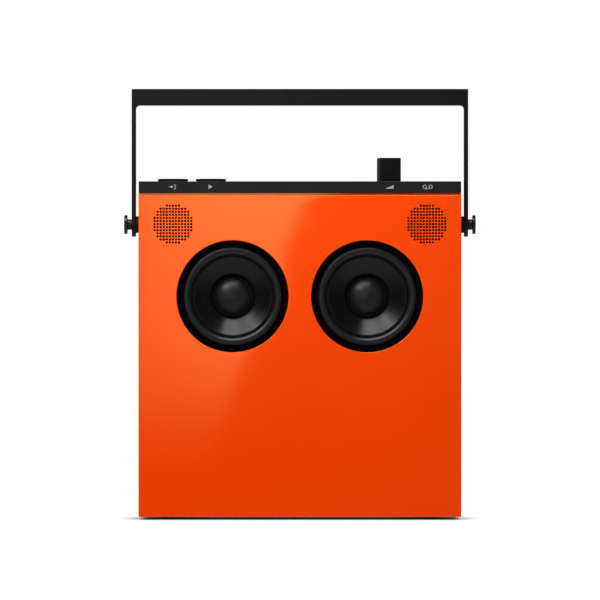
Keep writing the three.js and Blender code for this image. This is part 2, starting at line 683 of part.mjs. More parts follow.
function powerControl() {
  const button = turned('y', [
    [0, 18.4], [1.4, 18.4], [1.4, 22.4], [4.6, 22.4], [4.6, 23.7],
    [POWER_RADIUS, 23.7], [POWER_RADIUS, 26.7], [POWER_RADIUS - 0.3, 27], [0, 27],
  ]);
  const housing = cut(
    box([-3, 3], [SOCKET_FRONT, SOCKET_FRONT + 3], [-3, 3]),
    rod('y', 1.8, SOCKET_FRONT + 0.5, SOCKET_FRONT + 4, 16),
  );
  const group = placed(new THREE.Group(), POWER_X, 0, SOCKET_Z);
  group.add(piece('power_button', 'black', button), piece('power_switch', 'black', housing));
  return group;
}

// ---------------------------------------------------------------- whole object

const speaker = new THREE.Group();
speaker.add(frontPanel(), bodyFrame(), rearCover(), topDeck(), ...feet(), ...rearScrews(), handle());
for (const [name, side] of SIDES) {
  speaker.add(pivot(name, side), woofer(name, side), tweeter(name, side));
}
speaker.add(deckKey('input', INPUT_X), deckKey('play', PLAY_X), volumeControl(), tapeControl());
speaker.add(controlBoard(), mainBoard(), flatCable(), ...battery());
speaker.add(usbSocket(), audioJack(), powerControl());

export default speaker;
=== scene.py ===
# A portable stereo loudspeaker: the looks of its case, speakers, controls and handle, built round the
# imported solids. Shapes are worked out in millimetres and turned into metres when a mesh is made.
import math

import bmesh
import bpy
from mathutils import Matrix, Vector
from mathutils.geometry import delaunay_2d_cdt

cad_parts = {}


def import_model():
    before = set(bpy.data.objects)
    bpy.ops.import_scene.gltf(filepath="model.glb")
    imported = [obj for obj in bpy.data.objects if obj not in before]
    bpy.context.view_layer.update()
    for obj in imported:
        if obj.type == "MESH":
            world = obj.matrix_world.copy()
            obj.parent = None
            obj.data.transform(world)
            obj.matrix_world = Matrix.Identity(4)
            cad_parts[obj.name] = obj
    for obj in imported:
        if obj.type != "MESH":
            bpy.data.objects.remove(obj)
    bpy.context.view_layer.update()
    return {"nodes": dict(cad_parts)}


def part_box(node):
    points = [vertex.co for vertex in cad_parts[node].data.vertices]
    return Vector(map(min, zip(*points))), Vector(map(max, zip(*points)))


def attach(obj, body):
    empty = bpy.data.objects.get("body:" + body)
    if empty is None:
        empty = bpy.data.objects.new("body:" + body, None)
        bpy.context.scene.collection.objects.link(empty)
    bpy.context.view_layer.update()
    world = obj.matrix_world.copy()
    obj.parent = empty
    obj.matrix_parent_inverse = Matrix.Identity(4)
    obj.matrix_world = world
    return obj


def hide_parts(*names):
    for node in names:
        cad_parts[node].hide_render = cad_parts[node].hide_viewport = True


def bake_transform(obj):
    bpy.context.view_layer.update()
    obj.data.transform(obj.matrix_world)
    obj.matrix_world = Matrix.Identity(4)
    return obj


MM = 0.001
TAU = 2 * math.pi

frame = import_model()
scene = bpy.context.scene

FINE = 96  # sides of a large turned piece
SMALL = 48  # sides of a small one
SIDES = (("left", -1), ("right", 1))


def node_box(node):
    """A CAD node's lowest and highest corner in millimetres."""
    low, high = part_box(node)
    return low / MM, high / MM


def centre_of(node):
    low, high = node_box(node)
    return (low + high) / 2


# ---- outlines


def arc(cx, cy, radius, start, end, steps):
    """Points of an arc, in degrees, both ends included."""
    turns = [math.radians(start + (end - start) * i / steps) for i in range(steps + 1)]
    return [(cx + radius * math.cos(t), cy + radius * math.sin(t)) for t in turns]


def circle(cx, cy, radius, sides=SMALL):
    return arc(cx, cy, radius, 0, 360, sides)[:-1]


def rounded_rect(x0, x1, y0, y1, radius, steps=6):
    """A counter-clockwise rectangle with round corners."""
    corners = ((x1, y0, -90), (x1, y1, 0), (x0, y1, 90), (x0, y0, 180))
    points = []
    for x, y, start in corners:
        cx = x - radius if x == x1 else x + radius
        cy = y - radius if y == y1 else y + radius
        points += arc(cx, cy, radius, start, start + 90, steps)
    return [p for i, p in enumerate(points) if math.dist(p, points[i - 1]) > 1e-6]


def filleted(corners, closed=False, steps=5):
    """An outline from corners (x, y) or (x, y, radius): a corner with a radius becomes an arc."""
    points = []
    count = len(corners)
    for i, corner in enumerate(corners):
        here = Vector(corner[:2])
        radius = corner[2] if len(corner) > 2 else 0
        if not radius or (not closed and i in (0, count - 1)):
            points.append(tuple(here))
            continue
        back = (Vector(corners[i - 1][:2]) - here).normalized()
        ahead = (Vector(corners[(i + 1) % count][:2]) - here).normalized()
        half = back.angle(ahead) / 2
        middle = here + (back + ahead).normalized() * radius / math.sin(half)
        start = here + back * radius / math.tan(half) - middle
        sweep = start.angle_signed(here + ahead * radius / math.tan(half) - middle)
        for k in range(steps + 1):
            turned = start.copy()
            turned.rotate(Matrix.Rotation(-sweep * k / steps, 2))
            points.append(tuple(middle + turned))
    return points


# ---- solids

AXES = {
    # where (across, up, along) go: along is the axis that a piece is turned about or pulled along
    "x": lambda a, b, h: (h, a, b),
    "y": lambda a, b, h: (a, h, b),
    "z": lambda a, b, h: (a, b, h),
}


def new_object(name, points, faces):
    """A mesh object from points in millimetres, with its faces turned outwards."""
    mesh = bpy.data.meshes.new(name)
    mesh.from_pydata([Vector(p) * MM for p in points], [], faces)
    shape = bmesh.new()
    shape.from_mesh(mesh)
    bmesh.ops.remove_doubles(shape, verts=shape.verts, dist=1e-6)
    bmesh.ops.recalc_face_normals(shape, faces=shape.faces)
    shape.to_mesh(mesh)
    shape.free()
    obj = bpy.data.objects.new(name, mesh)
    scene.collection.objects.link(obj)
    return obj


def turned(name, axis, centre, profile, sides=FINE):
    """A piece turned about an axis through centre, from (radius, place along the axis) points.
    A profile that doesn't start and end on the axis is closed on itself."""
    place = AXES[axis]
    across, up = [c for a, c in zip("xyz", centre) if a != axis]
    on_axis = profile[0][0] == 0
    points, rings = [], []
    for radius, height in profile:
        if radius == 0:
            rings.append([len(points)] * sides)
            points.append(place(across, up, height))
            continue
        rings.append([len(points) + k for k in range(sides)])
        for k in range(sides):
            angle = TAU * k / sides
            points.append(place(across + radius * math.cos(angle), up + radius * math.sin(angle), height))
    faces = []
    pairs = list(zip(rings, rings[1:])) + ([] if on_axis else [(rings[-1], rings[0])])
    for low, high in pairs:
        for k in range(sides):
            n = (k + 1) % sides
            corner = []
            for index in (low[k], low[n], high[n], high[k]):
                if index not in corner:
                    corner.append(index)
            if len(corner) > 2:
                faces.append(corner)
    return new_object(name, points, faces)


def rod(radius, start, end):
    """The profile of a plain cylinder, for turned()."""
    return [(0, start), (radius, start), (radius, end), (0, end)]


def mirrored(profile, side):
    """A profile along x for the right side as it is, and for the left side the other way round."""
    return [(radius, side * x, *fillet) for radius, x, *fillet in profile]


def inset(loop, amount):
    """The loop moved into the material by amount. Outer loops run anticlockwise, holes clockwise."""
    if not amount:
        return loop
    moved = []
    for i, point in enumerate(loop):
        here = Vector(point)
        before = (here - Vector(loop[i - 1])).normalized()
        after = (Vector(loop[(i + 1) % len(loop)]) - here).normalized()
        normal = Vector((before.y + after.y, -before.x - after.x)).normalized()
        scale = max(normal.dot(Vector((before.y, -before.x))), 0.3)
        moved.append(tuple(here - normal * amount / scale))
    return moved


def rim(low, high, low_round, high_round, steps=4):
    """(inset, height) steps up a wall with a round rim at each end."""
    path = []
    for k in range(steps + 1 if low_round else 1):
        turn = math.radians(90 * k / steps)
        path.append((low_round * (1 - math.sin(turn)), low + low_round * (1 - math.cos(turn))))
    for k in range(steps, -1, -1) if high_round else [0]:
        turn = math.radians(90 * k / steps)
        path.append((high_round * (1 - math.sin(turn)), high - high_round * (1 - math.cos(turn))))
    return path


def cap(loops):
    """Triangles that fill the first loop and leave the others open, as corner numbers over all loops."""
    corners = [Vector(p) for loop in loops for p in loop]
    edges, start = [], 0
    for loop in loops:
        edges += [(start + k, start + (k + 1) % len(loop)) for k in range(len(loop))]
        start += len(loop)
    found, _, triangles, origins, _, _ = delaunay_2d_cdt(corners, edges, [], 2, 1e-7)
    kept = []
    for triangle in triangles:
        middle = sum((found[i] for i in triangle), Vector((0, 0))) / len(triangle)
        if sum(inside(middle, loop) for loop in loops) == 1:
            kept.append([origins[i][0] for i in triangle])
    return kept


def inside(point, loop):
    crossings = 0
    for (x0, y0), (x1, y1) in zip(loop, loop[1:] + loop[:1]):
        if (y0 > point.y) != (y1 > point.y) and point.x < (x1 - x0) * (point.y - y0) / (y1 - y0) + x0:
            crossings += 1
    return crossings % 2


def slab(name, axis, outer, path, holes=()):
    """A plate pulled along an axis. path is (inset, height) steps up the outer wall, and holes are
    (loop, path) pairs. Every path starts and ends at the plate's two faces."""
    place = AXES[axis]
    walls = [(outer, path)] + [(loop[::-1], steps) for loop, steps in holes]
    points, faces, ends = [], [], ([], [])
    for loop, steps in walls:
        rings = []
        for amount, height in steps:
            moved = inset(loop, amount)
            rings.append([len(points) + k for k in range(len(moved))])
            points += [place(a, b, height) for a, b in moved]
            if (amount, height) in (steps[0], steps[-1]):
                ends[(amount, height) == steps[-1]].append((moved, rings[-1]))
        for low, high in zip(rings, rings[1:]):
            for k in range(len(low)):
                n = (k + 1) % len(low)
                faces.append((low[k], low[n], high[n], high[k]))
    for end in ends:
        numbers = [index for _, ring in end for index in ring]
        faces += [tuple(numbers[i] for i in triangle) for triangle in cap([loop for loop, _ in end])]
    return new_object(name, points, faces)


def block(name, low, high, radius=0.3, steps=2):
    """A box with every edge rounded."""
    outline = rounded_rect(low[0], high[0], low[1], high[1], radius * 1.3, steps + 1)
    return slab(name, "z", outline, rim(low[2], high[2], radius, radius, steps))


def combine(base, added=(), removed=(), common=()):
    """Joins, cuts and intersects base with other solids, which are used up."""
    for others, operation in ((added, "UNION"), (removed, "DIFFERENCE"), (common, "INTERSECT")):
        for other in others:
            modifier = base.modifiers.new("solid", "BOOLEAN")
            modifier.operation = operation
            modifier.solver = "EXACT"
            modifier.object = other
    graph = bpy.context.evaluated_depsgraph_get()
    mesh = bpy.data.meshes.new_from_object(base.evaluated_get(graph))
    base.modifiers.clear()
    base.data = mesh
    for other in (*added, *removed, *common):
        bpy.data.objects.remove(other)
    return base


def merged(base, others):
    """Puts separate solids that don't meet into one object."""
    shape = bmesh.new()
    for obj in (base, *others):
        shape.from_mesh(obj.data)
    shape.to_mesh(base.data)
    shape.free()
    for obj in others:
        bpy.data.objects.remove(obj)
    return base


def finish_piece(obj, material, body, nodes=(), sharp=38):
    """Shades a piece, gives it its material and puts it on its body in place of its CAD nodes."""
    obj.data.materials.clear()
    obj.data.materials.append(material)
    for polygon in obj.data.polygons:
        polygon.use_smooth = True
    obj.data.set_sharp_from_angle(angle=math.radians(sharp))
    normals = obj.modifiers.new("normals", "WEIGHTED_NORMAL")
    normals.keep_sharp = True
    normals.weight = 100
    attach(obj, body)
    if nodes:
        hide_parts(*nodes)
    return obj


# ---- materials


class Shader:
    """A Principled material with a few nodes in front of it."""

    def __init__(self, name):
        self.material = bpy.data.materials.new(name)
        self.material.use_nodes = True
        self.tree = self.material.node_tree
        self.shader = self.tree.nodes["Principled BSDF"]
        self.coords = self.tree.nodes.new("ShaderNodeTexCoord")

    def set(self, **values):
        for socket, value in values.items():
            self.shader.inputs[socket.replace("_", " ")].default_value = value
        return self

    def node(self, kind, **inputs):
        made = self.tree.nodes.new(kind)
        for socket, value in inputs.items():
            target = made.inputs[socket.replace("_", " ")]
            if isinstance(value, bpy.types.NodeSocket):
                self.tree.links.new(value, target)
            else:
                target.default_value = value
        return made

    def noise(self, scale, detail=2.0, stretch=(1, 1, 1)):
        """Noise in object space. scale is in waves per metre."""
        mapping = self.node("ShaderNodeMapping", Vector=self.coords.outputs["Object"], Scale=stretch)
        made = self.node("ShaderNodeTexNoise", Vector=mapping.outputs[0], Scale=scale, Detail=detail)
        return made.outputs[0]

    def spread(self, value, low, high):
        """Runs from low to high as value goes from 0.3 to 0.7."""
        made = self.node("ShaderNodeMapRange", Value=value)
        made.inputs["From Min"].default_value = 0.3
        made.inputs["From Max"].default_value = 0.7
        made.inputs["To Min"].default_value = low
        made.inputs["To Max"].default_value = high
        return made.outputs[0]

    def colour(self, value, low, high):
        """The base colour runs from low to high as value goes from 0.3 to 0.7."""
        ramp = self.node("ShaderNodeValToRGB", Fac=value)
        for element, rgb, at in zip(ramp.color_ramp.elements, (low, high), (0.3, 0.7)):
            element.position = at
            element.color = (*rgb, 1)
        self.tree.links.new(ramp.outputs[0], self.shader.inputs["Base Color"])
        return self

    def roughness(self, value, low, high):
        self.tree.links.new(self.spread(value, low, high), self.shader.inputs["Roughness"])
        return self

    def bump(self, value, strength, depth):
        bump = self.node("ShaderNodeBump", Height=value, Strength=strength, Distance=depth)
        before = self.shader.inputs["Normal"].links
        if before:
            self.tree.links.new(before[0].from_socket, bump.inputs["Normal"])
        self.tree.links.new(bump.outputs[0], self.shader.inputs["Normal"])
        return self


def grey(level):
    return (level, level, level)


def orange_gloss():
    """Painted, polished plastic: deep orange, slightly uneven, under a clear gloss."""
    s = Shader("orange_gloss").set(IOR=1.8, Specular_Tint=(1, 1, 0.32, 1))
    s.colour(s.noise(14), (0.88, 0.054, 0.0008), (0.9, 0.058, 0.0012))
    s.roughness(s.noise(160, 3), 0.035, 0.055)
    return s.bump(s.noise(420), 0.02, 0.00001).material


def moulded_black(name, level, low, high, grain=5200, depth=0.00002, shine=0.4):
    """Moulded black plastic with a fine grain."""
    s = Shader(name).set(IOR=1.48, Specular_IOR_Level=shine)
    s.colour(s.noise(60), grey(level * 0.85), grey(level * 1.1))
    s.roughness(s.noise(900, 3), low, high)
    return s.bump(s.noise(grain, 3), 0.25, depth).material


def handle_black():
    """Black anodised aluminium, brushed along the bar."""
    s = Shader("handle_black").set(IOR=1.5, Specular_IOR_Level=0.4)
    s.colour(s.noise(90), grey(0.0025), grey(0.0035))
    s.roughness(s.noise(2200, 2, (0.06, 1, 1)), 0.36, 0.44)
    return s.bump(s.noise(3800, 2, (0.08, 1, 1)), 0.12, 0.00001).material


def pin_black():
    """Turned steel, blackened and polished."""
    s = Shader("pin_black").set(IOR=1.6)
    s.colour(s.noise(500), grey(0.004), grey(0.007))
    s.roughness(s.noise(1500), 0.16, 0.26)
    return s.bump(s.noise(2400, 2, (1, 1, 4)), 0.06, 0.00001).material


def soft_rubber(name, level, low, high, shine=0.3):
    """Matt black rubber or foam with a fine grain."""
    s = Shader(name).set(IOR=1.5, Specular_IOR_Level=shine)
    s.colour(s.noise(120), grey(level * 0.85), grey(level * 1.15))
    s.roughness(s.noise(700), low, high)
    return s.bump(s.noise(4200, 4), 0.2, 0.00002).material


def cone_black(name, low, high, ior):
    """Pressed polypropylene with a faint mineral grain."""
    s = Shader(name).set(IOR=ior)
    s.colour(s.noise(2600, 3), grey(0.0015), grey(0.003))
    s.roughness(s.noise(1300, 3), low, high)
    return s.bump(s.noise(3400, 3), 0.12, 0.00002).material


def white_print():
    s = Shader("white_print").set(IOR=1.45)
    s.colour(s.noise(3000), grey(0.26), grey(0.34))
    return s.roughness(s.noise(2000), 0.5, 0.6).material


def metal(name, low, high, rough_low, rough_high, stretch=(1, 1, 1)):
    """Bare metal, brushed where the noise is stretched."""
    s = Shader(name).set(Metallic=1.0)
    s.colour(s.noise(300), low, high)
    s.roughness(s.noise(1800, 3, stretch), rough_low, rough_high)
    return s.bump(s.noise(2600, 2, stretch), 0.08, 0.00001).material


def plain_grain(name, low, high, rough_low, rough_high, scale=900):
    """A matt solid with a mottled colour and a small grain."""
    s = Shader(name)
    s.colour(s.noise(scale, 4), low, high)
    s.roughness(s.noise(scale / 2), rough_low, rough_high)
    return s.bump(s.noise(scale * 3, 3), 0.3, 0.00003).material


def woven_cloth(name, low, high):
    """Thread crossings from two wave textures."""
    s = Shader(name)
    waves = []
    for direction in ("X", "Z"):
        wave = s.node("ShaderNodeTexWave", Vector=s.coords.outputs["Object"], Scale=900)
        wave.bands_direction = direction
        waves.append(wave.outputs["Fac"])
    weave = s.node("ShaderNodeMath")
    weave.operation = "MULTIPLY"
    for wave, socket in zip(waves, weave.inputs):
        s.tree.links.new(wave, socket)
    s.colour(weave.outputs[0], low, high)
    s.roughness(s.noise(400), 0.8, 0.95)
    return s.bump(weave.outputs[0], 0.5, 0.00005).material


def circuit_green():
    """Solder mask with a faint pattern of traces under it."""
    s = Shader("circuit_green")
    cells = s.node("ShaderNodeTexBrick", Vector=s.coords.outputs["Object"], Scale=260)
    cells.inputs["Color1"].default_value = (0.012, 0.085, 0.03, 1)
    cells.inputs["Color2"].default_value = (0.016, 0.11, 0.042, 1)
    cells.inputs["Mortar"].default_value = (0.03, 0.16, 0.06, 1)
    s.tree.links.new(cells.outputs["Color"], s.shader.inputs["Base Color"])
    return s.roughness(s.noise(500), 0.35, 0.5).material


MATERIALS = {
    "orange": orange_gloss(),
    "deck": moulded_black("deck_black", 0.0065, 0.4, 0.5, shine=0.48),
    "cover": moulded_black("cover_black", 0.022, 0.48, 0.6, 2600, 0.00005),
    "key": moulded_black("key_black", 0.0035, 0.34, 0.42),
    "knob": moulded_black("knob_black", 0.0045, 0.3, 0.4),
    "inner": moulded_black("inner_black", 0.012, 0.5, 0.65),
    "handle": handle_black(),
    "pin": pin_black(),
    "foot": soft_rubber("foot_rubber", 0.006, 0.7, 0.85),
    "surround": soft_rubber("surround_rubber", 0.002, 0.32, 0.4, 0.85),
    "gasket": soft_rubber("gasket_foam", 0.0015, 0.8, 0.95, 0.1),
    "cone": cone_black("cone_black", 0.22, 0.28, 1.5),
    "cap": cone_black("cap_black", 0.36, 0.44, 1.72),
    "print": white_print(),
    "steel": metal("zinc_steel", (0.42, 0.43, 0.45), (0.5, 0.51, 0.53), 0.25, 0.4, (0.2, 1, 1)),
    "screw": metal("black_zinc", (0.03, 0.03, 0.032), (0.05, 0.05, 0.053), 0.3, 0.4),
    "gold": metal("gold_contact", (0.75, 0.5, 0.18), (0.82, 0.56, 0.22), 0.2, 0.3),
    "copper": metal("copper_wire", (0.62, 0.25, 0.11), (0.75, 0.33, 0.16), 0.25, 0.4, (1, 12, 1)),
    "ferrite": plain_grain("ferrite", grey(0.03), grey(0.055), 0.6, 0.8),
    "wrap": plain_grain("cell_wrap", (0.02, 0.09, 0.3), (0.025, 0.12, 0.36), 0.35, 0.5, 300),
    "ribbon": plain_grain("ribbon", grey(0.55), grey(0.66), 0.35, 0.5, 500),
    "spider": woven_cloth("spider_cloth", (0.3, 0.16, 0.05), (0.48, 0.28, 0.1)),
    "silk": woven_cloth("dome_silk", (0.003, 0.003, 0.0035), (0.009, 0.009, 0.01)),
    "board": circuit_green(),
}

# ---- case

PANEL_LOW, PANEL_HIGH = node_box("front_panel")
COVER_HIGH = node_box("rear_cover")[1]
DECK_LOW, DECK_HIGH = node_box("top_deck")
FRAME_LOW, FRAME_HIGH = node_box("body_frame")
CORNER = 1.0  # of the case, seen from the front
SHEET = 3.0  # thickness of the front, the back and the deck
WALL = 2.5  # thickness of the sides and the floor
PANEL_BACK = PANEL_LOW.y + SHEET
COVER_FRONT = COVER_HIGH.y - SHEET
STEP = 1.2  # how far the panel's face stops below its top, which leaves a shadow line
MOUTH_RADIUS = 36.6
COLLAR_RADIUS = 38.8
SCREW_CIRCLE = 39.9  # radius of a woofer's screw circle
POST_RADIUS = 2.5  # of the posts inside the cover and the deck
HOLE_PITCH = 2.0  # of the small holes in front of the tweeters
HOLE_RADIUS = 0.79
FIELD_LIMIT = 6.45  # radius of a field of holes, in pitches
SCREW_X = centre_of("rear_screw_upper_right").x
SCREW_HEIGHTS = (centre_of("rear_screw_lower_right").z, centre_of("rear_screw_upper_right").z)


def case_outline():
    return rounded_rect(PANEL_LOW.x, PANEL_HIGH.x, PANEL_LOW.z, PANEL_HIGH.z, CORNER)


def perforations(middle):
    """The holes in front of a tweeter: a round field on a square grid."""
    reach = range(-6, 7)
    spots = [(i, j) for i in reach for j in reach if math.hypot(i, j) <= FIELD_LIMIT]
    return [(middle.x + i * HOLE_PITCH, middle.z + j * HOLE_PITCH) for i, j in spots]


def screw_circle(middle):
    """The four screw places round a woofer."""
    return [(middle.x + a, middle.z + b) for a, b in arc(0, 0, SCREW_CIRCLE, 45, 315, 3)]


def woofer_seat(woofer):
    """A collar and four screw posts behind a woofer's mouth, and the posts' pilot holes."""
    back, end = PANEL_BACK, PANEL_HIGH.y
    start = back - 0.6
    collar = [(MOUTH_RADIUS, start), (COLLAR_RADIUS, start), (COLLAR_RADIUS, end), (MOUTH_RADIUS, end)]
    solids, pilots = [turned("collar", "y", woofer, collar)], []
    for x, z in screw_circle(woofer):
        post = filleted([(0, back - 1), (2.6, back - 1), (2.6, end, 0.2), (0, end)])
        solids.append(turned("post", "y", (x, 0, z), post, 24))
        pilots.append(turned("pilot", "y", (x, 0, z), rod(1, back + 0.5, end + 1), 16))
    return solids, pilots


def front_panel():
    """The orange front, with two mouths, two fields of holes and a lip behind the seam at its top."""
    front, back = PANEL_LOW.y, PANEL_BACK
    holes, added, removed = [], [], []
    for name, _ in SIDES:
        woofer = centre_of(f"woofer_{name}_basket")
        tweeter = centre_of(f"tweeter_{name}_frame")
        holes.append((circle(woofer.x, woofer.z, MOUTH_RADIUS, FINE), rim(front, back, 0.45, 0)))
        for x, z in perforations(tweeter):
            holes.append((circle(x, z, HOLE_RADIUS, 12), rim(front, back, 0.06, 0, 1)))
        solids, pilots = woofer_seat(woofer)
        added += solids
        removed += pilots
        removed.append(turned("pocket", "y", tweeter, rod(13.6, back - 1.5, back + 1), 64))
    outline = rounded_rect(PANEL_LOW.x, PANEL_HIGH.x, PANEL_LOW.z, PANEL_HIGH.z - STEP, CORNER)
    panel = slab("front_panel_shell", "y", outline, rim(front, back, 0.7, 0.15), holes)
    sunk, tall = 2.2, 4  # how far behind the face the lip is, and its height
    lip_low = (PANEL_LOW.x + 1, front + sunk, PANEL_HIGH.z - tall)
    added.append(block("lip", lip_low, (PANEL_HIGH.x - 1, back - 0.05, PANEL_HIGH.z), 0.15))
    combine(panel, added, removed)
    return finish_piece(panel, MATERIALS["orange"], "housing", ["front_panel"])


def body_frame():
    """Two sides and a floor, open at the front, the back and the top."""
    low, high = FRAME_LOW, FRAME_HIGH
    inner_x = high.x - WALL
    inner_z = low.z + WALL
    outline = filleted([
        (low.x, high.z), (low.x, low.z, CORNER), (high.x, low.z, CORNER), (high.x, high.z),
        (inner_x, high.z), (inner_x, inner_z, 0.5), (-inner_x, inner_z, 0.5), (-inner_x, high.z),
    ], True, 6)
    shell = slab("body_frame_shell", "y", outline, rim(low.y, high.y, 0.2, 0.2, 2))
    added, removed = [], []
    pivot = centre_of("strap_pin_right")
    gap = 0.3  # round a foot in its pocket
    for name, side in SIDES:
        for z in SCREW_HEIGHTS:
            ends = sorted((side * (SCREW_X - 3.8), side * (inner_x + 0.5)))
            added.append(block("post", (ends[0], 6, z - 3.8), (ends[1], high.y, z + 3.8), 0.25))
            removed.append(turned("hole", "y", (side * SCREW_X, 0, z), rod(1.4, 5, high.y + 1), 24))
        boss = [(0, 96), (6.7, 96), (7, 96.3), (7, inner_x + 0.5), (0, inner_x + 0.5)]
        added.append(turned("boss", "x", pivot, mirrored(boss, side), SMALL))
        removed.append(turned("bore", "x", pivot, mirrored(rod(2.8, 95, high.x + 1), side), SMALL))
        foot_low, foot_high = node_box(f"foot_{name}")
        x0, x1 = foot_low.x - gap, foot_high.x + gap
        y0, y1 = foot_low.y - gap, foot_high.y + gap
        pocket = rounded_rect(x0, x1, y0, y1, 8.7, 12)
        removed.append(slab("pocket", "z", pocket, rim(0, foot_high.z + 0.1, 0, 0)))
    combine(shell, added, removed)
    return finish_piece(shell, MATERIALS["orange"], "housing", ["body_frame"])


def stadium(cx, cy, width, height, steps=10):
    """A lying outline with two straight sides and half-round ends."""
    return rounded_rect(cx - width / 2, cx + width / 2, cy - height / 2, cy + height / 2, height / 2, steps)


def rear_cover():
    """The black back, with a sunk well for the sockets and four sunk screws."""
    front, back = COVER_FRONT, COVER_HIGH.y
    well_x, well_z, well_floor = (20, 80), (22, 38), 24
    socket_z = centre_of("usb_socket").z
    holes = [(rounded_rect(*well_x, *well_z, 2, 6), rim(front, back, 0, 0.4))]
    for _, side in SIDES:
        for z in SCREW_HEIGHTS:
            step = [(-1.7, front), (-1.7, back - 1.6), (0, back - 1.6), (0, back - 0.3), (0.3, back)]
            holes.append((circle(side * SCREW_X, z, 3.6), step))
    sheet = slab("rear_cover_shell", "y", case_outline(), rim(front, back, 0.15, 0.7), holes)
    outlines = (
        stadium(centre_of("usb_socket").x, socket_z, 9.54, 3.86),
        circle(centre_of("audio_jack").x, socket_z, 3.3),
        circle(centre_of("power_button").x, socket_z, 3.8),
    )
    sockets = [(outline, rim(well_floor, front, 0, 0.2, 2)) for outline in outlines]
    tray = rounded_rect(well_x[0] - 2, well_x[1] + 2, well_z[0] - 2, well_z[1] + 2, 2, 6)
    base = slab("well_floor", "y", tray, rim(well_floor, front, 0.3, 0), sockets)
    post = rod(POST_RADIUS, 16.7, front + 0.5)
    board_corners = ((-52, 22), (8, 22), (-52, 88), (72, 88))
    posts = [turned("post", "y", (x, 0, z), post, 24) for x, z in board_corners]
    combine(sheet, [base, *posts])
    return finish_piece(sheet, MATERIALS["cover"], "housing", ["rear_cover"])


MARK = 0.05  # how far the printed marks stand out from the deck
MARK_DEPTH = 0.3  # how deep they start in the deck
MARK_HEIGHT = 217.35  # middle of the marks
CONTROLS = {
    "input": centre_of("input_button"),
    "play": centre_of("play_button"),
    "volume": centre_of("volume_shaft"),
    "tape": centre_of("tape_shaft"),
}


def top_deck():
    """A tray turned upside down."""
    low, high = DECK_LOW, DECK_HIGH
    bottom = PANEL_HIGH.z + 0.1
    outline = rounded_rect(low.x + MARK, high.x - MARK, low.y + MARK, high.y - MARK, CORNER)
    holes = []
    for name, radius in (("input", 10.3), ("play", 10.3), ("volume", 4), ("tape", 12.8)):
        holes.append((circle(CONTROLS[name].x, 0, radius, FINE), rim(bottom, high.z, 0, 0.2, 2)))
    deck = slab("top_deck_shell", "z", outline, rim(bottom, high.z, 0.25, 0.35), holes)
    start = (low.x + WALL, low.y + WALL, bottom - 5)
    combine(deck, removed=[block("hollow", start, (high.x - WALL, high.y - WALL, high.z - SHEET), 0.5)])
    post = rod(POST_RADIUS, low.z, high.z - SHEET + 0.5)
    combine(deck, [turned("post", "z", (x, 16, 0), post, 24) for x in (-90, -20, 20, 90)])
    return finish_piece(deck, MATERIALS["deck"], "housing", ["top_deck"])


def feet():
    """Two long rubber pads with round ends."""
    for name, _ in SIDES:
        low, high = node_box(f"foot_{name}")
        outline = rounded_rect(low.x, high.x, low.y, high.y, (high.x - low.x) / 2, 12)
        foot = slab(f"foot_{name}_pad", "z", outline, rim(low.z, high.z, 0.5, 0.2))
        finish_piece(foot, MATERIALS["foot"], "housing", [f"foot_{name}"])


def rear_screws():
    """Cheese heads with a cross recess, sunk in the cover."""
    for level in ("lower", "upper"):
        for name, _ in SIDES:
            node = f"rear_screw_{level}_{name}"
            low, high = node_box(node)
            middle = (low + high) / 2
            top, head = high.y, high.y - 1.2
            profile = filleted([
                (0, low.y), (0.5, low.y), (1.1, low.y + 1), (1.1, head), (3.2, head), (3.2, top, 0.7),
                (0, top),
            ])
            screw = turned(f"{node}_head", "y", middle, profile, SMALL)
            cross = []
            for half_x, half_z in ((1.7, 0.35), (0.35, 1.7)):
                start = (middle.x - half_x, top - 0.8, middle.z - half_z)
                cross.append(block("slot", start, (middle.x + half_x, top + 0.5, middle.z + half_z), 0.12))
            combine(screw, removed=cross)
            finish_piece(screw, MATERIALS["screw"], "housing", [node])


# ---- handle


def handle():
    """A flat bar with two thin arms, each ending in a half circle round its pivot."""
    low, high = node_box("handle")
    pivot = centre_of("strap_pin_right")
    arm, bar, fillet = 2.6, 10.6, 2.5
    under = high.z - bar
    inner = high.x - arm
    outline = filleted([
        (low.x, low.z), (-inner, low.z), (-inner, under, fillet), (inner, under, fillet),
        (inner, low.z), (high.x, low.z), (high.x, high.z, 0.5), (low.x, high.z, 0.5),
    ], True, 8)
    body = slab("handle_bar", "y", outline, rim(low.y, high.y, 0.4, 0.4, 3))
    radius = high.y
    side = arc(0, pivot.z, radius, 180, 360, 40) + [(radius, high.z + 1), (-radius, high.z + 1)]
    swept = slab("side", "x", side, rim(low.x, high.x, 0.4, 0.4, 3))
    bore = rod(2.9, inner - 1, high.x + 1)
    bores = [turned("bore", "x", pivot, mirrored(bore, way), SMALL) for _, way in SIDES]
    combine(body, removed=bores, common=[swept])
    return finish_piece(body, MATERIALS["handle"], "handle", ["handle"])


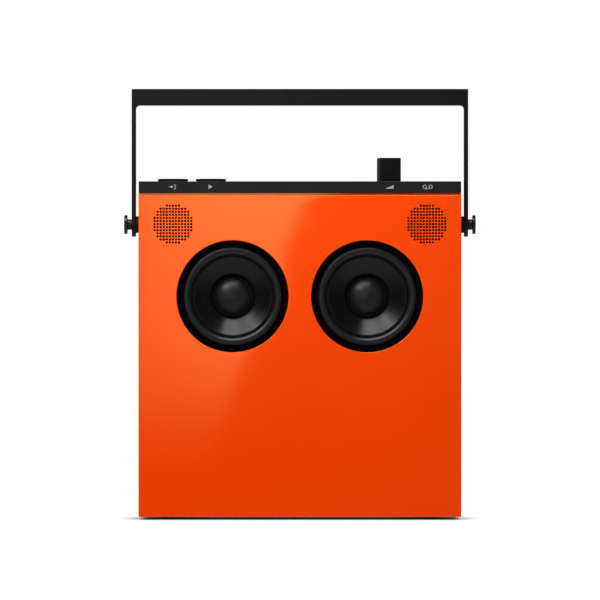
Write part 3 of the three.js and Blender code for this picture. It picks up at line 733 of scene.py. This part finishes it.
def pivots():
    """A spacer bush and a mushroom-headed strap pin at each end of the handle."""
    shoulder, stem, head = 110.6, 113.4, 115.5
    pin_profile = [
        (0, 94), (2.2, 94), (2.5, 94.3), (2.5, shoulder), (3.45, shoulder, 0.2), (3.45, stem, 0.25),
        (6.2, stem, 0.35), (6.2, head, 0.55), (4.3, head, 0.2), (4, head - 0.35, 0.2), (0, head - 0.35),
    ]
    for name, way in SIDES:
        low, high = node_box(f"pivot_bush_{name}")
        centre = (low + high) / 2
        near, far = (low.x, high.x) if way > 0 else (high.x, low.x)
        bush = filleted([(2.9, near), (5.5, near, 0.3), (5.5, far, 0.3), (2.9, far)], True)
        piece = turned(f"pivot_bush_{name}_ring", "x", centre, bush, SMALL)
        finish_piece(piece, MATERIALS["inner"], "housing", [f"pivot_bush_{name}"])
        pin = turned(f"strap_pin_{name}_turned", "x", centre, filleted(mirrored(pin_profile, way)), 64)
        finish_piece(pin, MATERIALS["pin"], "housing", [f"strap_pin_{name}"])


# ---- woofers


def between(a, b, c, d, t):
    """Catmull-Rom: the value at t, from 0 to 1, on the way from b to c."""
    bend = (2 * a - 5 * b + 4 * c - d) * t**2
    return 0.5 * (2 * b + (c - a) * t + bend + (3 * b - a - 3 * c + d) * t**3)


def curve(points, steps=8):
    """A smooth line through points."""
    line = []
    ends = [points[0], *points, points[-1]]
    for p0, p1, p2, p3 in zip(ends, ends[1:], ends[2:], ends[3:]):
        for k in range(steps):
            line.append(tuple(between(*values, k / steps) for values in zip(p0, p1, p2, p3)))
    return line + [points[-1]]


def surround_ring(name, centre):
    """The rubber roll and its gasket. The roll's outer foot stays on the basket and its inner edge
    meets the cone's lip."""
    face, skin = -22.8, 0.5
    middle, roll = 30.0, 3.1
    inner, outer = middle - roll, middle + roll
    crest = arc(middle, face, roll, 165, 352, 22)
    hollow = arc(middle, face, roll - skin, 356, 165, 14)
    land = [(25.55, face + 0.1), (25.7, face - 0.02), (26.25, face + 0.1), (26.7, face + 0.8)]
    front = land + crest + [(outer + 0.2, face + 0.15)]
    back = [(outer + 0.2, face + skin), (outer - 0.2, face + skin)] + hollow
    back += [(27.25, face + 1.35), (26.45, face + 1.35), (26.15, face + skin + 0.05), (25.5, face + skin)]
    ring = turned(f"woofer_{name}_surround_roll", "y", centre, front + back, 128)
    node = f"woofer_{name}_surround"
    finish_piece(ring, MATERIALS["surround"], "housing", [node], 50)
    ring.parent = None
    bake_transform(ring)
    profile = filleted([
        (outer + 0.05, face + skin), (outer + 0.05, face, 0.1), (36.1, face, 0.15), (36.25, face - 5.3),
        (36.5, face - 5.4, 0.1), (36.52, face + skin),
    ], True)
    gasket = turned(f"woofer_{name}_gasket", "y", centre, profile, 128)
    finish_piece(gasket, MATERIALS["gasket"], "housing", [node], 50)


def cone_and_cap(name, centre):
    """A flared cone with a small lip, and a domed cap on its neck."""
    front = curve([(13.0, -12.0), (14.3, -14.1), (16.2, -15.7), (20.2, -18.55), (24.9, -21.9)])
    lip = [(25.25, -22.12), (25.5, -22.2), (25.9, -22.2), (25.95, -21.75), (25.5, -21.7)]
    back = [(r, y + 0.5) for r, y in reversed(front)]
    cone = turned(f"woofer_{name}_cone_shell", "y", centre, front + lip + back, 128)
    body = f"{name}_cone"
    finish_piece(cone, MATERIALS["cone"], body, [f"woofer_{name}_cone"], 50)
    rise, base = 5.4, -13.2
    radius, skin = 12.4, 0.6
    sphere = (radius**2 + rise**2) / (2 * rise)
    half = math.degrees(math.asin(radius / sphere))
    middle = base - rise + sphere
    outside = arc(0, middle, sphere, -90, -90 + half, 20)
    underside = arc(0, middle, sphere - skin, -90 + half - 1.5, -90, 14)
    outside[0] = (0, outside[0][1])
    underside[-1] = (0, underside[-1][1])
    cap_profile = outside + [(12.4, -12.9), (12.4, -12), (11.8, -12), (11.8, -12.9)] + underside
    dome = turned(f"woofer_{name}_dust_cap_dome", "y", centre, cap_profile, FINE)
    finish_piece(dome, MATERIALS["cap"], body, [f"woofer_{name}_dust_cap"], 50)


def voice_coil(name, centre):
    """A dark former with a copper winding on its lower end."""
    body, node = f"{name}_cone", f"woofer_{name}_voice_coil"
    former = filleted([(12.5, -11.8), (12.9, -11.8), (12.9, 6, 0.1), (12.5, 6, 0.1)], True)
    tube = turned(f"woofer_{name}_coil_former", "y", centre, former)
    turns, pitch, start = 17, 0.44, -1.6
    bumps = [(13.2, start)]
    for k in range(turns):
        bumps += arc(13.35, start + pitch * (k + 0.5), pitch / 2, -80, 80, 4)
    bumps += [(13.2, start + pitch * turns), (12.85, start + pitch * turns), (12.85, start)]
    winding = turned(f"woofer_{name}_winding", "y", centre, bumps)
    finish_piece(tube, MATERIALS["inner"], body)
    finish_piece(winding, MATERIALS["copper"], body, [node], 80)


def woofers():
    for name, _ in SIDES:
        centre = centre_of(f"woofer_{name}_basket")
        surround_ring(name, centre)
        cone_and_cap(name, centre)
        voice_coil(name, centre)


# ---- controls


def keys():
    """Round keys: a flat top with a soft edge over a slightly narrower side, and a flange below."""
    flange = (216.2, 217.7)
    for name in ("input", "play"):
        low, high = node_box(f"{name}_button")
        top = high.z
        profile = filleted([
            (0, low.z), (3, low.z), (3, flange[0]), (11.3, flange[0]), (11.3, flange[1]), (9.75, flange[1]),
            (9.75, top - 1.05, 0.3), (10, top - 0.85, 0.1), (10, top, 0.3), (8.9, top, 0.2),
            (8.6, top - 0.12, 0.2), (0, top - 0.12),
        ])
        key = turned(f"{name}_button_cap", "z", CONTROLS[name], profile, FINE)
        finish_piece(key, MATERIALS["key"], f"{name}_key", [f"{name}_button"])


def volume_knob():
    """A square block, turned a few degrees, with a white pointer line on top."""
    low, high = node_box("volume_knob")
    side, turn = 14, math.radians(8)
    outline = rounded_rect(-side / 2, side / 2, -side / 2, side / 2, 0.7, 8)
    knob = slab("volume_knob_block", "z", outline, rim(low.z, high.z, 0.3, 0.5, 5))
    bore = turned("bore", "z", (0, 0, 0), rod(3.3, low.z - 1, 231.5), SMALL)
    groove = block("groove", (-0.35, -6, high.z - 0.4), (0.35, -1.5, high.z + 1), 0.15)
    combine(knob, removed=[bore, groove])
    line = block("volume_knob_line", (-0.3, -5.9, high.z - 0.4), (0.3, -1.6, high.z - 0.12), 0.05)
    shift = Matrix.Translation(Vector((CONTROLS["volume"].x, 0, 0)) * MM)
    for piece in (knob, line):
        piece.data.transform(shift @ Matrix.Rotation(turn, 4, "Z"))
    finish_piece(knob, MATERIALS["knob"], "volume_control", ["volume_knob"])
    finish_piece(line, MATERIALS["print"], "volume_control")


def tape_wheel():
    """A flush disc with a finger dimple and a fine ring near its rim."""
    low, high = node_box("tape_wheel")
    top = high.z
    radius = high.x - CONTROLS["tape"].x
    profile = filleted([
        (0, low.z), (4, low.z), (4, 218.2), (radius, 218.2), (radius, top, 0.35), (11.7, top, 0.1),
        (11.55, top - 0.15, 0.1), (11.25, top - 0.15, 0.1), (11.1, top, 0.1), (0, top),
    ])
    wheel = turned("tape_wheel_disc", "z", CONTROLS["tape"], profile, FINE)
    sphere, depth = 8.0, 1.2
    bowl = arc(0, top + sphere - depth, sphere, -90, -40, 16)
    bowl[0] = (0, bowl[0][1])
    bowl.append((0, bowl[-1][1]))
    dimple = turned("dimple", "z", (CONTROLS["tape"].x, -7.6, 0), bowl, SMALL)
    bore = turned("bore", "z", CONTROLS["tape"], rod(1.8, low.z - 1, 219.3), 24)
    combine(wheel, removed=[dimple, bore])
    finish_piece(wheel, MATERIALS["key"], "tape_reel", ["tape_wheel"])


def pictogram(name, x, shapes):
    """Thin white marks on the deck's lip. Each shape is an outer loop with any holes."""
    wall = rim(DECK_LOW.y, DECK_LOW.y + MARK_DEPTH, 0, 0)
    parts = []
    for loops in shapes:
        moved = [[(x + a, MARK_HEIGHT + b) for a, b in loop] for loop in loops]
        parts.append(slab(f"{name}_mark", "y", moved[0], wall, [(loop, wall) for loop in moved[1:]]))
    mark = merged(parts[0], parts[1:])
    mark.name = f"{name}_mark"
    finish_piece(mark, MATERIALS["print"], "housing")


def pictograms():
    """An arrow into a bracket, a triangle, a rising wedge and two reels."""
    arrow = [(-2.4, -0.2), (-0.5, -0.2), (-0.5, -0.95), (0.75, 0), (-0.5, 0.95), (-0.5, 0.2), (-2.4, 0.2)]
    bracket = [
        (1.0, -1.5), (2.2, -1.5), (2.2, 1.5), (1.0, 1.5),
        (1.0, 1.1), (1.8, 1.1), (1.8, -1.1), (1.0, -1.1),
    ]
    pictogram("input", CONTROLS["input"].x, [[arrow], [bracket]])
    pictogram("play", CONTROLS["play"].x, [[[(-1.3, -1.5), (1.6, 0), (-1.3, 1.5)]]])
    pictogram("volume", CONTROLS["volume"].x, [[[(-2.8, -1.2), (2.8, -1.2), (2.8, 1.2)]]])
    reels = [[circle(x, 0, 1.35, 32), circle(x, 0, 0.85, 32)] for x in (-1.9, 1.9)]
    bar = rounded_rect(-1.2, 1.2, -1.45, -1.08, 0.08, 2)
    pictogram("tape", CONTROLS["tape"].x, [*reels, [bar]])


# ---- rear sockets


def charging_socket():
    """A steel shell with a tongue and eight gold contacts."""
    centre = centre_of("usb_socket")
    low, high = node_box("usb_socket")
    outer = stadium(centre.x, centre.z, 8.94, 3.26)
    mouth = stadium(centre.x, centre.z, 8.34, 2.56)
    opening = (mouth, rim(low.y + 1, high.y, 0, 0.08, 2))
    shell = slab("usb_socket_shell", "y", outer, rim(low.y + 1, high.y, 0, 0.1, 2), [opening])
    back = slab("usb_back", "y", outer, rim(low.y, low.y + 1.05, 0.1, 0, 2))
    combine(shell, [back])
    finish_piece(shell, MATERIALS["steel"], "housing", ["usb_socket"])
    half_x, half_z = 3.35, 0.35
    start = (centre.x - half_x, low.y + 0.9, centre.z - half_z)
    tongue = block("usb_tongue", start, (centre.x + half_x, high.y - 0.8, centre.z + half_z), 0.15)
    finish_piece(tongue, MATERIALS["inner"], "housing")
    strips = []
    for k in range(8):
        x = centre.x - 2.45 + 0.7 * k
        start = (x - 0.15, high.y - 4.5, centre.z + 0.3)
        strips.append(block("usb_contacts", start, (x + 0.15, high.y - 1.2, centre.z + 0.38), 0.02))
    finish_piece(merged(strips[0], strips[1:]), MATERIALS["gold"], "housing")


def audio_jack():
    """A round-mouthed socket on a square body, with a gold contact ring inside."""
    centre = centre_of("audio_jack")
    low, high = node_box("audio_jack")
    body = block("audio_jack_body", (low.x, low.y, low.z), (high.x, 23.7, high.z), 0.25)
    sleeve_profile = filleted([(0, 23), (3, 23), (3, high.y, 0.25), (0, high.y)])
    sleeve = turned("sleeve", "y", centre, sleeve_profile, SMALL)
    bore = turned("bore", "y", centre, rod(1.8, low.y + 1.2, high.y + 1), SMALL)
    combine(body, [sleeve], [bore])
    finish_piece(body, MATERIALS["inner"], "housing", ["audio_jack"])
    near, far, inner, outer = low.y + 2, high.y - 0.4, 1.55, 1.78
    ring = filleted([(inner, near), (outer, near), (outer, far), (inner, far, 0.1)], True)
    finish_piece(turned("audio_jack_contact", "y", centre, ring, SMALL), MATERIALS["gold"], "housing")


def power_button():
    """A small round button with a dished top, a flange and a stem to its switch."""
    centre = centre_of("power_button")
    low, high = node_box("power_button")
    profile = filleted([
        (0, low.y), (1.4, low.y, 0.3), (1.4, 22.4), (4.6, 22.4), (4.6, 23.7), (3.5, 23.7),
        (3.5, high.y, 0.4), (2.6, high.y, 0.1), (2.4, high.y - 0.15, 0.1), (0, high.y - 0.15),
    ])
    button = turned("power_button_cap", "y", centre, profile, 64)
    finish_piece(button, MATERIALS["key"], "power_key", ["power_button"])


# ---- inside, kept as the CAD has it

INNER_FINISHES = {
    "steel": ["basket", "top_plate", "yoke"],
    "spider": ["spider"],
    "ferrite": ["magnet"],
    "silk": ["dome"],
    "gasket": ["frame"],
    "inner": ["switch", "encoder", "battery_tray"],
    "board": ["board"],
    "wrap": ["battery_pack"],
    "ribbon": ["cable"],
}


def kept_nodes():
    """CAD nodes that still show get a material of their own kind."""
    for name, node in frame["nodes"].items():
        if node.hide_render:
            continue
        finish = next((f for f, ends in INNER_FINISHES.items() if name.endswith(tuple(ends))), "steel")
        node.data.materials.clear()
        node.data.materials.append(MATERIALS[finish])


# ---- camera, floor and light

CAMERA_DISTANCE = 4400  # from the case's front face
CAMERA_HEIGHT = 143.4
CAMERA_LENS = 404
FLOOR_SIZE = 6  # in metres, from the middle to an edge
FLOOR_LEVEL = -0.0002  # in metres, just under the feet
FLOOR_GLOW = 0.95  # brightness to anything but the camera
SHADOW_REACH = 0.015  # in metres, how far the painted contact shadow under the case spreads


def camera():
    """A long lens, square to the front and level with about the middle of the object."""
    data = bpy.data.cameras.new("camera")
    data.lens = CAMERA_LENS
    data.sensor_width = 36
    data.clip_end = 50
    made = bpy.data.objects.new("camera", data)
    made.location = Vector((0.05, PANEL_LOW.y - CAMERA_DISTANCE, CAMERA_HEIGHT)) * MM
    made.rotation_euler = (math.radians(90), 0, 0)
    scene.collection.objects.link(made)
    scene.camera = made


def glowing_sheet(name, material_name, corners):
    """A flat sheet with corners in metres. Gives the object, its node tree and its emission node."""
    mesh = bpy.data.meshes.new(name)
    mesh.from_pydata(corners, [], [tuple(range(len(corners)))])
    obj = bpy.data.objects.new(name, mesh)
    scene.collection.objects.link(obj)
    material = bpy.data.materials.new(material_name)
    material.use_nodes = True
    tree = material.node_tree
    tree.nodes.clear()
    glow = tree.nodes.new("ShaderNodeEmission")
    out = tree.nodes.new("ShaderNodeOutputMaterial")
    tree.links.new(glow.outputs[0], out.inputs[0])
    obj.data.materials.append(material)
    return obj, tree, glow


def floor():
    """A glowing white floor with a painted contact shadow: dark only in the narrow gap under the case."""
    size, level = FLOOR_SIZE, FLOOR_LEVEL
    corners = [(-size, -size, level), (size, -size, level), (size, size, level), (-size, size, level)]
    obj, tree, glow = glowing_sheet("floor", "floor_white", corners)
    nodes, link = tree.nodes, tree.links.new
    # painted shadow: ambient occlusion darkens the floor where it runs under the case
    contact = nodes.new("ShaderNodeAmbientOcclusion")
    contact.samples = 8
    contact.inputs["Distance"].default_value = SHADOW_REACH
    rays = nodes.new("ShaderNodeLightPath")
    shade = nodes.new("ShaderNodeMix")
    shade.inputs["A"].default_value = FLOOR_GLOW
    link(rays.outputs["Is Camera Ray"], shade.inputs["Factor"])
    link(contact.outputs["AO"], shade.inputs["B"])
    link(shade.outputs["Result"], glow.inputs["Strength"])
    obj.visible_glossy = False


def ramp(tree, source, low, high, stops):
    """Grey levels at stops, given as (value, level), of a value that runs from low to high."""
    node = tree.nodes.new("ShaderNodeValToRGB")
    share = tree.nodes.new("ShaderNodeMapRange")
    share.inputs["From Min"].default_value = low
    share.inputs["From Max"].default_value = high
    tree.links.new(source, share.inputs["Value"])
    tree.links.new(share.outputs[0], node.inputs[0])
    elements = node.color_ramp.elements
    while len(elements) < len(stops):
        elements.new(0.5)
    for element, (value, level) in zip(elements, stops):
        element.position = (value - low) / (high - low)
        element.color = (level, level, level, 1)
    return node.outputs[0]


def blended(tree, kind, share, first, second):
    """Mixes two colours by a share, or takes the lighter of them."""
    mix = tree.nodes.new("ShaderNodeMix")
    mix.data_type = "RGBA"
    mix.blend_type = kind
    for socket, value in zip((mix.inputs[0], mix.inputs[6], mix.inputs[7]), (share, first, second)):
        if isinstance(value, bpy.types.NodeSocket):
            tree.links.new(value, socket)
        else:
            socket.default_value = value
    return mix.outputs[2]


def world():
    """White to the camera. To everything else a room that is pale below and brighter behind than in
    front. In reflections it is dim all round, apart from a pale ring in front."""
    made = bpy.data.worlds.new("studio")
    made.use_nodes = True
    scene.world = made
    tree = made.node_tree
    tree.nodes.clear()
    coords = tree.nodes.new("ShaderNodeTexCoord")
    axes = tree.nodes.new("ShaderNodeSeparateXYZ")
    tree.links.new(coords.outputs["Generated"], axes.inputs[0])
    rays = tree.nodes.new("ShaderNodeLightPath")
    room_levels = ((-0.3, 0.29), (0.1, 0.29), (0.5, 0.6), (1, 0.7))
    ring_levels = (
        (-0.94, 0), (-0.84, 0.2), (-0.55, 0.2), (-0.38, 0.04), (0.1, 0.05), (0.5, 0.12), (1, 0.12),
    )
    floor_levels = ((-1, 0.35), (-0.92, 0.35), (-0.6, 0.25), (-0.25, 0.1), (-0.1, 0))
    lit = ramp(tree, axes.outputs[1], -1, 1, room_levels)
    seen = ramp(tree, axes.outputs[1], -1, 1, ring_levels)
    below = ramp(tree, axes.outputs[2], -1, 1, floor_levels)
    behind = blended(tree, "MIX", rays.outputs["Is Glossy Ray"], lit, seen)
    room = blended(tree, "LIGHTEN", 1, behind, below)
    background = tree.nodes.new("ShaderNodeBackground")
    white = blended(tree, "MIX", rays.outputs["Is Camera Ray"], room, (1, 1, 1, 1))
    tree.links.new(white, background.inputs[0])
    out = tree.nodes.new("ShaderNodeOutputWorld")
    tree.links.new(background.outputs[0], out.inputs[0])


def area_light(name, at, towards, width, height, radiance):
    """A rectangular light of a given brightness."""
    data = bpy.data.lights.new(name, "AREA")
    data.shape = "RECTANGLE"
    data.size, data.size_y = width, height
    data.energy = radiance * math.pi * width * height
    obj = bpy.data.objects.new(name, data)
    obj.location = at
    obj.rotation_euler = (Vector(towards) - Vector(at)).to_track_quat("-Z", "Y").to_euler()
    obj.visible_camera = False
    scene.collection.objects.link(obj)
    return obj


def card(name, y, corners, strength):
    """A glowing card that only reflections see: bright at the top, fading downwards and to the left."""
    obj, tree, glow = glowing_sheet(name, f"{name}_glow", [(x, y, z) for x, z in corners])
    coords = tree.nodes.new("ShaderNodeTexCoord")
    axes = tree.nodes.new("ShaderNodeSeparateXYZ")
    tree.links.new(coords.outputs["Object"], axes.inputs[0])
    stops = ((-0.02, 0.0), (0.025, 0.14), (0.063, 0.42), (0.1, 0.62), (0.18, 0.82), (0.23, 1.0))
    height = ramp(tree, axes.outputs[2], -0.03, 0.3, stops)
    across = ramp(tree, axes.outputs[0], -0.3, 0.1, ((-0.17, 0.55), (-0.06, 1.0)))
    glow.inputs["Strength"].default_value = strength
    tree.links.new(blended(tree, "MULTIPLY", 1, height, across), glow.inputs["Color"])
    obj.visible_camera = False
    obj.visible_diffuse = False
    obj.visible_shadow = False


def cards():
    """The large card whose slanted edge shows on the front, and a dim one behind it."""
    left, top, bottom = -1.1, 0.5, -0.03
    slant = [(left, top), (0.07, top), (0.005, 0.24), (-0.062, 0.063), (-0.095, bottom), (left, bottom)]
    card("softbox", -2.0, slant, 1.6)
    card("fill_card", -2.05, [(left, top), (-left, top), (-left, bottom), (left, bottom)], 0.09)


def lights():
    """The cards, a key from the upper left, a row of overhead strips and a small wash close by."""
    cards()
    area_light("key", (-1.35, -1.35, 1.9), (0, 0, 0.14), 0.8, 0.6, 6)
    y, z, depth = -0.24, 0.72, 0.42
    strips = ((-0.16, 0.128, 3.4), (-0.4, -0.16, 2.4), (-0.7, -0.4, 1.5), (-1.3, -0.7, 0.5))
    for left, right, radiance in strips:
        x = (left + right) / 2
        area_light("overhead", (x, y, z), (x, y, 0), right - left, depth, radiance)
    wash = area_light("wash", (-0.14, -0.21, 0.47), (-0.03, 0, 0.15), 0.36, 0.1, 10)
    wash.visible_glossy = False


# ---- the scene

scene.view_settings.view_transform = "Standard"
front_panel()
body_frame()
rear_cover()
top_deck()
feet()
rear_screws()
handle()
pivots()
woofers()
keys()
volume_knob()
tape_wheel()
pictograms()
charging_socket()
audio_jack()
power_button()
kept_nodes()
camera()
floor()
world()
lights()
